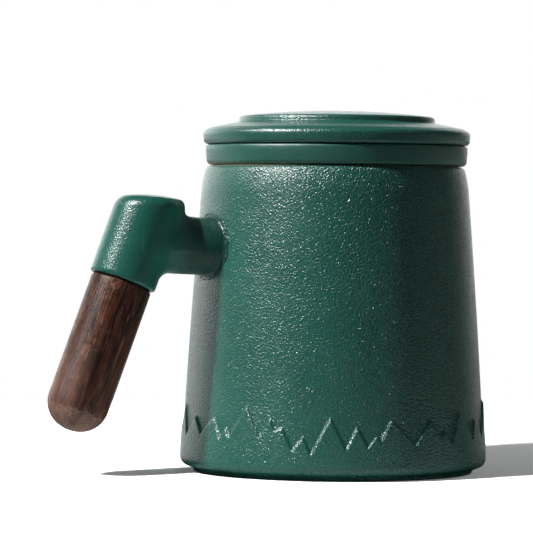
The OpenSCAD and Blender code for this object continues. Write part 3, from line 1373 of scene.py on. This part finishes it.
    def build_socket(self) -> bpy.types.Object:
        """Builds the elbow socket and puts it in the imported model's place.

        Returns:
            The socket.
        """
        # The socket's glaze carries painted shade near the wall, where the stub meets the mug.
        glaze = Glaze(
            "socket_glaze", Pebbling.FINE, gather_and_shade=(56.0, 45.0), grit=0.05, roughness=0.29, density=1.70)
        piece = skin(self.elbow, self.box_low, self.box_high, self.step).build("elbow_socket", crease=60)
        dress(piece, glaze.material())
        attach(piece, "mug")
        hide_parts("handle_socket")
        return piece

    def grip_path(self) -> np.ndarray:
        """The grip's outline, from its rounded end to the bottom of the stud's hole.

        Returns:
            Rows of (r, z), with the grip's upper face at z = 0.
        """
        end_z = self.end_height - self.grip_length
        side = outline([
            Corner(0, -self.stud_depth), Corner(self.stud_r, -self.stud_depth),
            Corner(self.stud_r, 0, 0.3), Corner(self.grip_r, 0, 0.9),
            Corner(self.grip_r, end_z)], steps=6, longest=2.0)
        down = np.sin(np.linspace(0, math.pi / 2, self.end_steps + 1)[1:])
        end_r = self.grip_r * (1 - down ** self.end_power) ** (1 / self.end_power)
        end = np.stack([end_r, end_z - self.end_height * down], 1)
        return np.concatenate([side, end])[::-1]

    def build_grip(self) -> bpy.types.Object:
        """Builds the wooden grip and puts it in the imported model's place.

        Returns:
            The grip.
        """
        top = self.barrel_low + self.washer
        lean = math.radians(self.tilt)
        draft = Draft()
        draft.add_lathe(self.grip_path(), self.segments)
        draft.place(self.below_joint(top), lean)
        piece = draft.build("wooden_grip", crease=60)
        end = self.below_joint(top + self.grip_length)
        dress(piece, DarkWood(lean, tuple(end.tolist())).material())
        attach(piece, "mug")
        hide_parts("handle_grip")
        return piece

    def build_fixing(self) -> None:
        """Dresses the washer, the stud, the insert and its adhesive."""
        finishes = {
            "grip_washer": Plain("black_rubber", (0.016, 0.016, 0.016), (0.009, 0.009, 0.010), 0, 0.7),
            "grip_stud": Plain("stud_steel", (0.60, 0.61, 0.62), (0.45, 0.46, 0.47), 1, 0.32),
            "socket_insert": Plain("insert_brass", (0.66, 0.50, 0.20), (0.50, 0.36, 0.13), 1, 0.30),
            "insert_bond": Plain("adhesive", (0.68, 0.62, 0.44), (0.55, 0.49, 0.33), 0, 0.45),
        }
        for node, finish in finishes.items():
            dress(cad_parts[node], finish.material())


@dataclass
class Infuser:
    """The ceramic strainer basket whose flange shows as a ring under the lid."""

    flange_z: float = 92.1
    flange_top: float = 98.1
    flange_edge: float = 1.6
    flange_r: float = 39.43
    taper: float = 0.35
    top_r: float = 34.13
    low_r: float = 30.33
    floor_z: float = 27.0
    wall: float = 2.8
    corner: float = 6.0
    neck: float = 2.0
    rows: int = 5
    per_row: int = 24
    first_row: float = 9.0
    pitch: float = 6.0
    floor_rings: int = 2
    floor_pitch: float = 7.0
    hole_r: float = 1.0
    hole_margin: float = 1.7
    hole_steps: int = 20
    soft: float = 0.25
    cell: int = 8

    def outside(self, z: float) -> float:
        """Radius of the basket's outside at a height."""
        low, high = self.floor_z + self.corner, self.flange_z - self.neck
        return self.low_r + (self.top_r - self.low_r) * (z - low) / (high - low)

    def band(self) -> tuple[float, float]:
        """Lowest and highest height of the perforated band."""
        low = self.floor_z + self.first_row - self.pitch / 2
        return low, low + self.rows * self.pitch

    def paths(self) -> tuple[np.ndarray, np.ndarray, np.ndarray]:
        """The outlines under and over the perforated band.

        Returns:
            The outline round the lower corner's outside, the one round its inside, and the
            upper wall's, from outside over the flange to inside.
        """
        low, high = self.band()
        centre = (self.low_r - self.corner, self.floor_z + self.corner)
        outer = [*arc(centre, self.corner, -90, 0, 10), (self.outside(low), low)]
        inner = [(self.outside(low) - self.wall, low), *arc(centre, self.corner - self.wall, 0, -90, 8)]
        neck_z, bore = self.flange_z - self.neck, self.top_r - self.wall
        upper = outline([
            Corner(self.outside(high) - self.wall, high), Corner(bore, neck_z, 8),
            Corner(bore, self.flange_top, 0.7), Corner(self.flange_r, self.flange_top, 0.75),
            Corner(self.flange_r, self.flange_top - self.flange_edge, 3),
            Corner(self.flange_r - self.taper, self.flange_z, 1.5),
            Corner(self.top_r, self.flange_z, 0.6), Corner(self.top_r, neck_z, 6),
            Corner(self.outside(high), high)], steps=6, longest=4.0)
        return np.array(outer), np.array(inner), upper[::-1]

    def ring(self, angle: float, z: float, size: float | None, depth: float) -> np.ndarray:
        """A closed loop of points round one hole, on the basket's wall.

        Args:
            angle: bearing of the hole, in radians.
            z: height of the hole.
            size: radius of a round loop, or None for the edge of the hole's own cell.
            depth: distance inwards from the wall's outside.

        Returns:
            The loop's points.
        """
        points = []
        for k in range(4 * self.cell):
            edge, t = divmod(k / self.cell, 1)
            t = t * 2 - 1
            x, y = ((t, -1), (1, t), (-t, 1), (-1, -t))[int(edge)]
            if size is None:
                a, h = angle + x * math.pi / self.per_row, z + y * self.pitch / 2
            else:
                turn = math.atan2(y, x)
                a, h = angle + size * math.cos(turn) / self.outside(z), z + size * math.sin(turn)
            r = self.outside(h) - depth
            points.append((r * math.cos(a), r * math.sin(a), h))
        return np.array(points)

    def add_holes(self, draft: Draft) -> None:
        """Adds the perforated band, one cell for each hole.

        Args:
            draft: the piece so far.
        """
        low, _ = self.band()
        half = [(None, 0.0), (self.hole_r * self.hole_margin, 0.0), (self.hole_r + self.soft, 0.0),
                (self.hole_r, self.soft)]
        loops = half + [(size, self.wall - depth) for size, depth in reversed(half)]
        for row in range(self.rows):
            for k in range(self.per_row):
                angle = (k + row % 2 / 2) * 2 * math.pi / self.per_row
                z = low + (row + 0.5) * self.pitch
                rings = [self.ring(angle, z, size, depth) for size, depth in loops]
                draft.add_quads(draft.add_points(np.array(rings)))

    def floor_holes(self) -> list[np.ndarray]:
        """Places the floor's holes: one on the axis and the rings round it.

        Returns:
            The middle of each hole, as (x, y).
        """
        middles = [np.zeros(2)]
        for ring in range(1, self.floor_rings + 1):
            middles.extend(circle(self.floor_pitch * ring, 6 * ring))
        return middles

    def add_floor(self, draft: Draft, segments: int) -> None:
        """Adds the flat floor with its rings of holes.

        Args:
            draft: the piece so far.
            segments: number of steps round the basket.
        """
        low, high = self.floor_z, self.floor_z + self.wall
        hole, mouth = (circle(r, self.hole_steps) for r in (self.hole_r, self.hole_r + self.soft))
        levels = ((low, mouth), (low + self.soft, hole), (high - self.soft, hole), (high, mouth))
        middles = self.floor_holes()
        rim = circle(self.low_r - self.corner, segments)
        for z in (low, high):
            draft.add_plate([rim, *(middle + mouth for middle in middles)], z)
        for middle in middles:
            rings = [np.insert(middle + ring, 2, z, axis=1) for z, ring in levels]
            draft.add_quads(draft.add_points(np.array(rings)))

    def build(self) -> bpy.types.Object:
        """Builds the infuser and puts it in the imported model's place.

        Returns:
            The infuser.
        """
        segments = self.per_row * self.cell
        draft = Draft()
        for path in self.paths():
            draft.add_lathe(path, segments)
        self.add_holes(draft)
        self.add_floor(draft, segments)
        draft.place(LOOSE)
        piece = draft.build("strainer_basket", merge=0.01, crease=50)
        dress(piece, Glaze("infuser_glaze", Pebbling.SATIN, roughness=0.38).material())
        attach(piece, "infuser")
        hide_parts("infuser")
        return piece


@dataclass
class Lid:
    """The stepped ceramic lid, whose ring sits inside the infuser's mouth."""

    z: float = 98.3
    edge_r: float = 40.23
    edge_high: float = 0.9
    edge_low: float = 2.6
    edge_draft: float = 0.25
    ring_r: float = 30.83
    ring_t: float = 3.0
    ring_depth: float = 5.0
    brim_z: float = 103.05
    brim_in: float = 2.2
    brim_lift: float = 0.25
    disc_r: float = 29.6
    disc_z: float = 105.0
    disc_draft: float = 0.2
    disc_drop: float = 0.25
    disc_sunk: float = 0.05
    crown_z: float = 107.0
    crown_in: float = 1.7
    crown_rise: float = 1.55
    thickness: float = 4.2
    hollow_slope: float = 4.0
    segments: int = 256

    def path(self) -> np.ndarray:
        """The lid's outline, from the top's middle round the edge to the hollow's middle.

        Returns:
            Rows of (r, z).
        """
        dome_r = self.disc_r - self.crown_in
        steps = np.linspace(0, 1, 12)[:-1]
        dome = np.stack([dome_r * steps, self.crown_z + self.crown_rise * (1 - steps * steps)], 1)
        hollow_r = self.ring_r - self.ring_t
        low = self.z - self.ring_depth
        edge = outline([
            Corner(dome_r, self.crown_z),
            Corner(self.disc_r - self.disc_draft, self.crown_z - self.disc_drop, 1.0),
            Corner(self.disc_r, self.disc_z + self.disc_sunk, 0.45),
            Corner(self.edge_r - self.brim_in, self.brim_z + self.brim_lift, 3.2),
            Corner(self.edge_r, self.brim_z - self.edge_high, 1.5),
            Corner(self.edge_r, self.z + self.edge_low, 4.0),
            Corner(self.edge_r - self.edge_draft, self.z, 1.5), Corner(self.ring_r, self.z, 0.5),
            Corner(self.ring_r, low, 0.9), Corner(hollow_r, low, 0.9),
            Corner(hollow_r, self.brim_z - self.thickness, 2.0),
            Corner(hollow_r - self.hollow_slope, self.crown_z - self.thickness, 3.0),
            Corner(0, self.crown_z + self.crown_rise - self.thickness)], steps=8, longest=3.0)
        return np.concatenate([dome, edge])

    def build(self) -> bpy.types.Object:
        """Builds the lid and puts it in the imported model's place.

        Returns:
            The lid.
        """
        glaze = Glaze("lid_glaze", Pebbling.GRAINED, grit=0.05, roughness=0.32, density=2.1)
        draft = Draft()
        draft.add_lathe(self.path()[::-1], self.segments)
        draft.place(LOOSE)
        piece = draft.build("stepped_lid", crease=60)
        dress(piece, glaze.material())
        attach(piece, "lid")
        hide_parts("lid")
        return piece


# ---------------------------------------------------------------------------------------
# The studio


@dataclass(frozen=True)
class Lamp:
    """A small lamp that lights either the floor alone or all but the floor.

    Args:
        name: the lamp's name.
        place: where it hangs.
        power: its power in watts.
        size: its radius.
        lights_floor: whether it lights the floor alone.
    """

    name: str
    place: Point
    power: float
    size: float
    lights_floor: bool

    def build(self, floor: bpy.types.Object) -> None:
        """Hangs the lamp and links it to the floor or keeps it off it.

        Args:
            floor: the floor.
        """
        data = bpy.data.lights.new(self.name, "POINT")
        data.energy = self.power
        data.shadow_soft_size = self.size * MM
        lamp = bpy.data.objects.new(self.name, data)
        lamp.location = metres(self.place)
        bpy.context.scene.collection.objects.link(lamp)
        group = bpy.data.collections.new(self.name + "_reach")
        group.objects.link(floor)
        linking = group.collection_objects[0].light_linking
        linking.link_state = "INCLUDE" if self.lights_floor else "EXCLUDE"
        lamp.light_linking.receiver_collection = group


@dataclass
class Studio:
    """A white floor with a lamp of its own, white surroundings, a hard key light and the camera."""

    bearing: float = 245.0
    distance: float = 1048.0
    height: float = 78.2
    pitch: float = 0.91
    yaw: float = 1.12
    roll: float = 0.5
    focal_px: float = 3475.0
    image_px: float = 533.0
    sensor: float = 36.0
    clip: tuple[float, float] = (0.05, 50.0)
    key: Lamp = Lamp("key", (-1144.0, -30.0, 1136.0), 119.0, 57.0, lights_floor=False)
    floor_key: Lamp = Lamp("floor_key", (-388.0, -140.0, 310.0), 12.8, 23.0, lights_floor=True)
    fill_level: float = 1.0
    fill_above: float = 0.015
    fill_band: tuple[float, float] = (0.70, 0.15)
    fill_bearing: float = -65.0
    fill_turn: tuple[float, float] = (0.1, 0.8)
    fill_front: float = 0.03
    backdrop_turn: float = 16.0
    backdrop_edge: tuple[float, float] = (0.55, 0.95)
    backdrop_level: float = 2.1
    backdrop_top: tuple[float, float] = (0.56, 0.32)
    backdrop_above: float = 0.07
    backdrop_front: float = 0.01
    floor_radii: tuple[float, ...] = (6000.0, 2000.0, 500.0, 0.0)
    floor_segments: int = 64
    floor_drop: float = 0.05
    floor_rough: float = 0.6
    floor_seen: float = 1.85
    floor_full: float = 525.0
    floor_glow: tuple[float, float] = (260.0, 420.0)
    floor_lift: float = 0.11
    floor_bounce: float = 1.2
    floor_far_bounce: float = 0.24
    floor_least: float = 0.05
    floor_spill: tuple[float, float] = (140.0, 50.0)
    floor_pool: float = 60.0
    floor_mirrored: float = 0.85
    floor_near: tuple[float, float] = (150.0, 85.0)
    floor_near_level: float = 0.4
    floor_foot: tuple[float, float] = (43.6, 45.8)
    floor_behind: tuple[float, float] = (10.0, 90.0)

    def build_camera(self) -> None:
        """Makes the camera and gives it to the scene."""
        data = bpy.data.cameras.new("camera")
        data.sensor_width = self.sensor
        data.lens = self.focal_px / self.image_px * self.sensor
        data.clip_start, data.clip_end = self.clip
        camera = bpy.data.objects.new("camera", data)
        bpy.context.scene.collection.objects.link(camera)
        bearing = math.radians(self.bearing)
        spot = Vector((math.cos(bearing), math.sin(bearing), 0)) * self.distance
        spot.z = self.height
        turn = Matrix.Rotation(bearing + math.pi / 2 + math.radians(self.yaw), 4, "Z")
        turn = turn @ Matrix.Rotation(math.pi / 2 - math.radians(self.pitch), 4, "X")
        turn = turn @ Matrix.Rotation(math.radians(self.roll), 4, "Z")
        camera.matrix_world = Matrix.Translation(spot * MM) @ turn
        bpy.context.scene.camera = camera

    def ahead(self, turn: float = 0.0) -> Point:
        """The level direction away from the camera, turned to its left by some degrees."""
        bearing = math.radians(self.bearing + 180 + turn)
        return (math.cos(bearing), math.sin(bearing), 0.0)

    def floor_white(self) -> bpy.types.Material:
        """The floor's finish, which shows white and bounces little light.

        Returns:
            The material.
        """
        material, graph = surface("floor_white")
        path = graph.node("ShaderNodeLightPath")
        place = graph.place()
        far = graph.measure("LENGTH", place)
        clear = far.step(*self.floor_foot)
        # How bright the glaze mirrors it: less close to the mug, and nothing at its foot.
        near = far.step(*self.floor_near) * self.floor_near_level
        behind = graph.measure("DOT_PRODUCT", place, self.ahead()).step(*self.floor_behind)
        mirrored = near.at_least(behind) * clear * self.floor_mirrored
        # How white the camera sees it, evened out where its own lamp fades.
        gap = graph.measure("DISTANCE", place, metres(self.floor_key.place))
        falloff = (gap * (1 / (self.floor_full * MM))) ** 3
        white = falloff.at_least(1.0) * self.floor_seen
        # How much light it throws back: a little, and more under the handle.
        pool = metres(tuple(c * self.floor_pool for c in self.ahead(90)))
        spill = graph.measure("DISTANCE", place, pool).step(*self.floor_spill) * self.floor_bounce
        bounce = clear * (spill + self.floor_far_bounce) + self.floor_least
        seen = graph.blend(path.outputs["Is Camera Ray"], graph.grey(bounce), graph.grey(white))
        seen = graph.blend(path.outputs["Is Glossy Ray"], seen, graph.grey(mirrored))
        lit = graph.node("ShaderNodeBsdfDiffuse", None, {"Color": seen, "Roughness": self.floor_rough})
        glow = graph.node("ShaderNodeEmission", None, {"Color": (1.0, 1.0, 1.0), "Strength": 1.0})
        share = far.step(*self.floor_glow) * (1 - self.floor_lift) + self.floor_lift
        share = share * Signal(graph, path.outputs["Is Camera Ray"])
        both = graph.node("ShaderNodeMixShader", None, {0: share, 1: lit.outputs[0], 2: glow.outputs[0]})
        graph.node("ShaderNodeOutputMaterial", None, {"Surface": both.outputs[0]})
        return material

    def build_floor(self) -> bpy.types.Object:
        """Makes the floor.

        Returns:
            The floor.
        """
        draft = Draft()
        draft.add_lathe(np.array([(radius, 0.0) for radius in self.floor_radii]), self.floor_segments)
        draft.place((0.0, 0.0, -self.floor_drop))
        floor = draft.build("floor")
        dress(floor, self.floor_white())
        return floor

    def build_world(self) -> None:
        """Makes the surroundings: white where seen, bright behind the mug and dim in front of it."""
        world = bpy.data.worlds.new("studio")
        world.use_nodes = True
        bpy.context.scene.world = world
        graph = Graph(world.node_tree)
        path = graph.node("ShaderNodeLightPath")
        direction = graph.node("ShaderNodeTexCoord").outputs["Generated"]
        up = graph.along(direction, "Z")
        low = up.ramp(*self.backdrop_top) * (1 - self.backdrop_above) + self.backdrop_above
        behind = graph.measure("DOT_PRODUCT", direction, self.ahead(self.backdrop_turn))
        mirrored = behind.ramp(*self.backdrop_edge) * low * self.backdrop_level + self.backdrop_front
        beside = graph.measure("DOT_PRODUCT", direction, self.ahead(self.fill_bearing))
        around = beside.ramp(*self.fill_turn) * (1 - self.fill_front) + self.fill_front
        level = up.ramp(*self.fill_band)
        fill = level * around * (self.fill_level - self.fill_above) + self.fill_above
        colour = graph.blend(path.outputs["Is Glossy Ray"], graph.grey(fill), graph.grey(mirrored))
        seen = Signal(graph, path.outputs["Is Camera Ray"]).at_least(path.outputs["Is Transmission Ray"])
        colour = graph.blend(seen, colour, (1.0, 1.0, 1.0))
        shader = graph.node("ShaderNodeBackground", None, {"Color": colour, "Strength": 1.0})
        graph.node("ShaderNodeOutputWorld", None, {"Surface": shader.outputs[0]})

    def build(self) -> None:
        """Makes the whole studio."""
        bpy.context.scene.view_settings.view_transform = "Standard"
        self.build_camera()
        floor = self.build_floor()
        for lamp in (self.key, self.floor_key):
            lamp.build(floor)
        self.build_world()


def main() -> None:
    """Builds every piece in order."""
    logging.basicConfig(level=logging.INFO, format="%(name)s: %(message)s")
    Studio().build()
    mug = MugBody()
    handle = Handle(mug)
    for build in (mug.build, handle.build_socket, handle.build_grip, Infuser().build, Lid().build):
        piece = build()
        mesh = piece.data
        LOG.info("%s: %d points, %d faces", piece.name, len(mesh.vertices), len(mesh.polygons))
    handle.build_fixing()


if __name__ == "__main__":
    main()
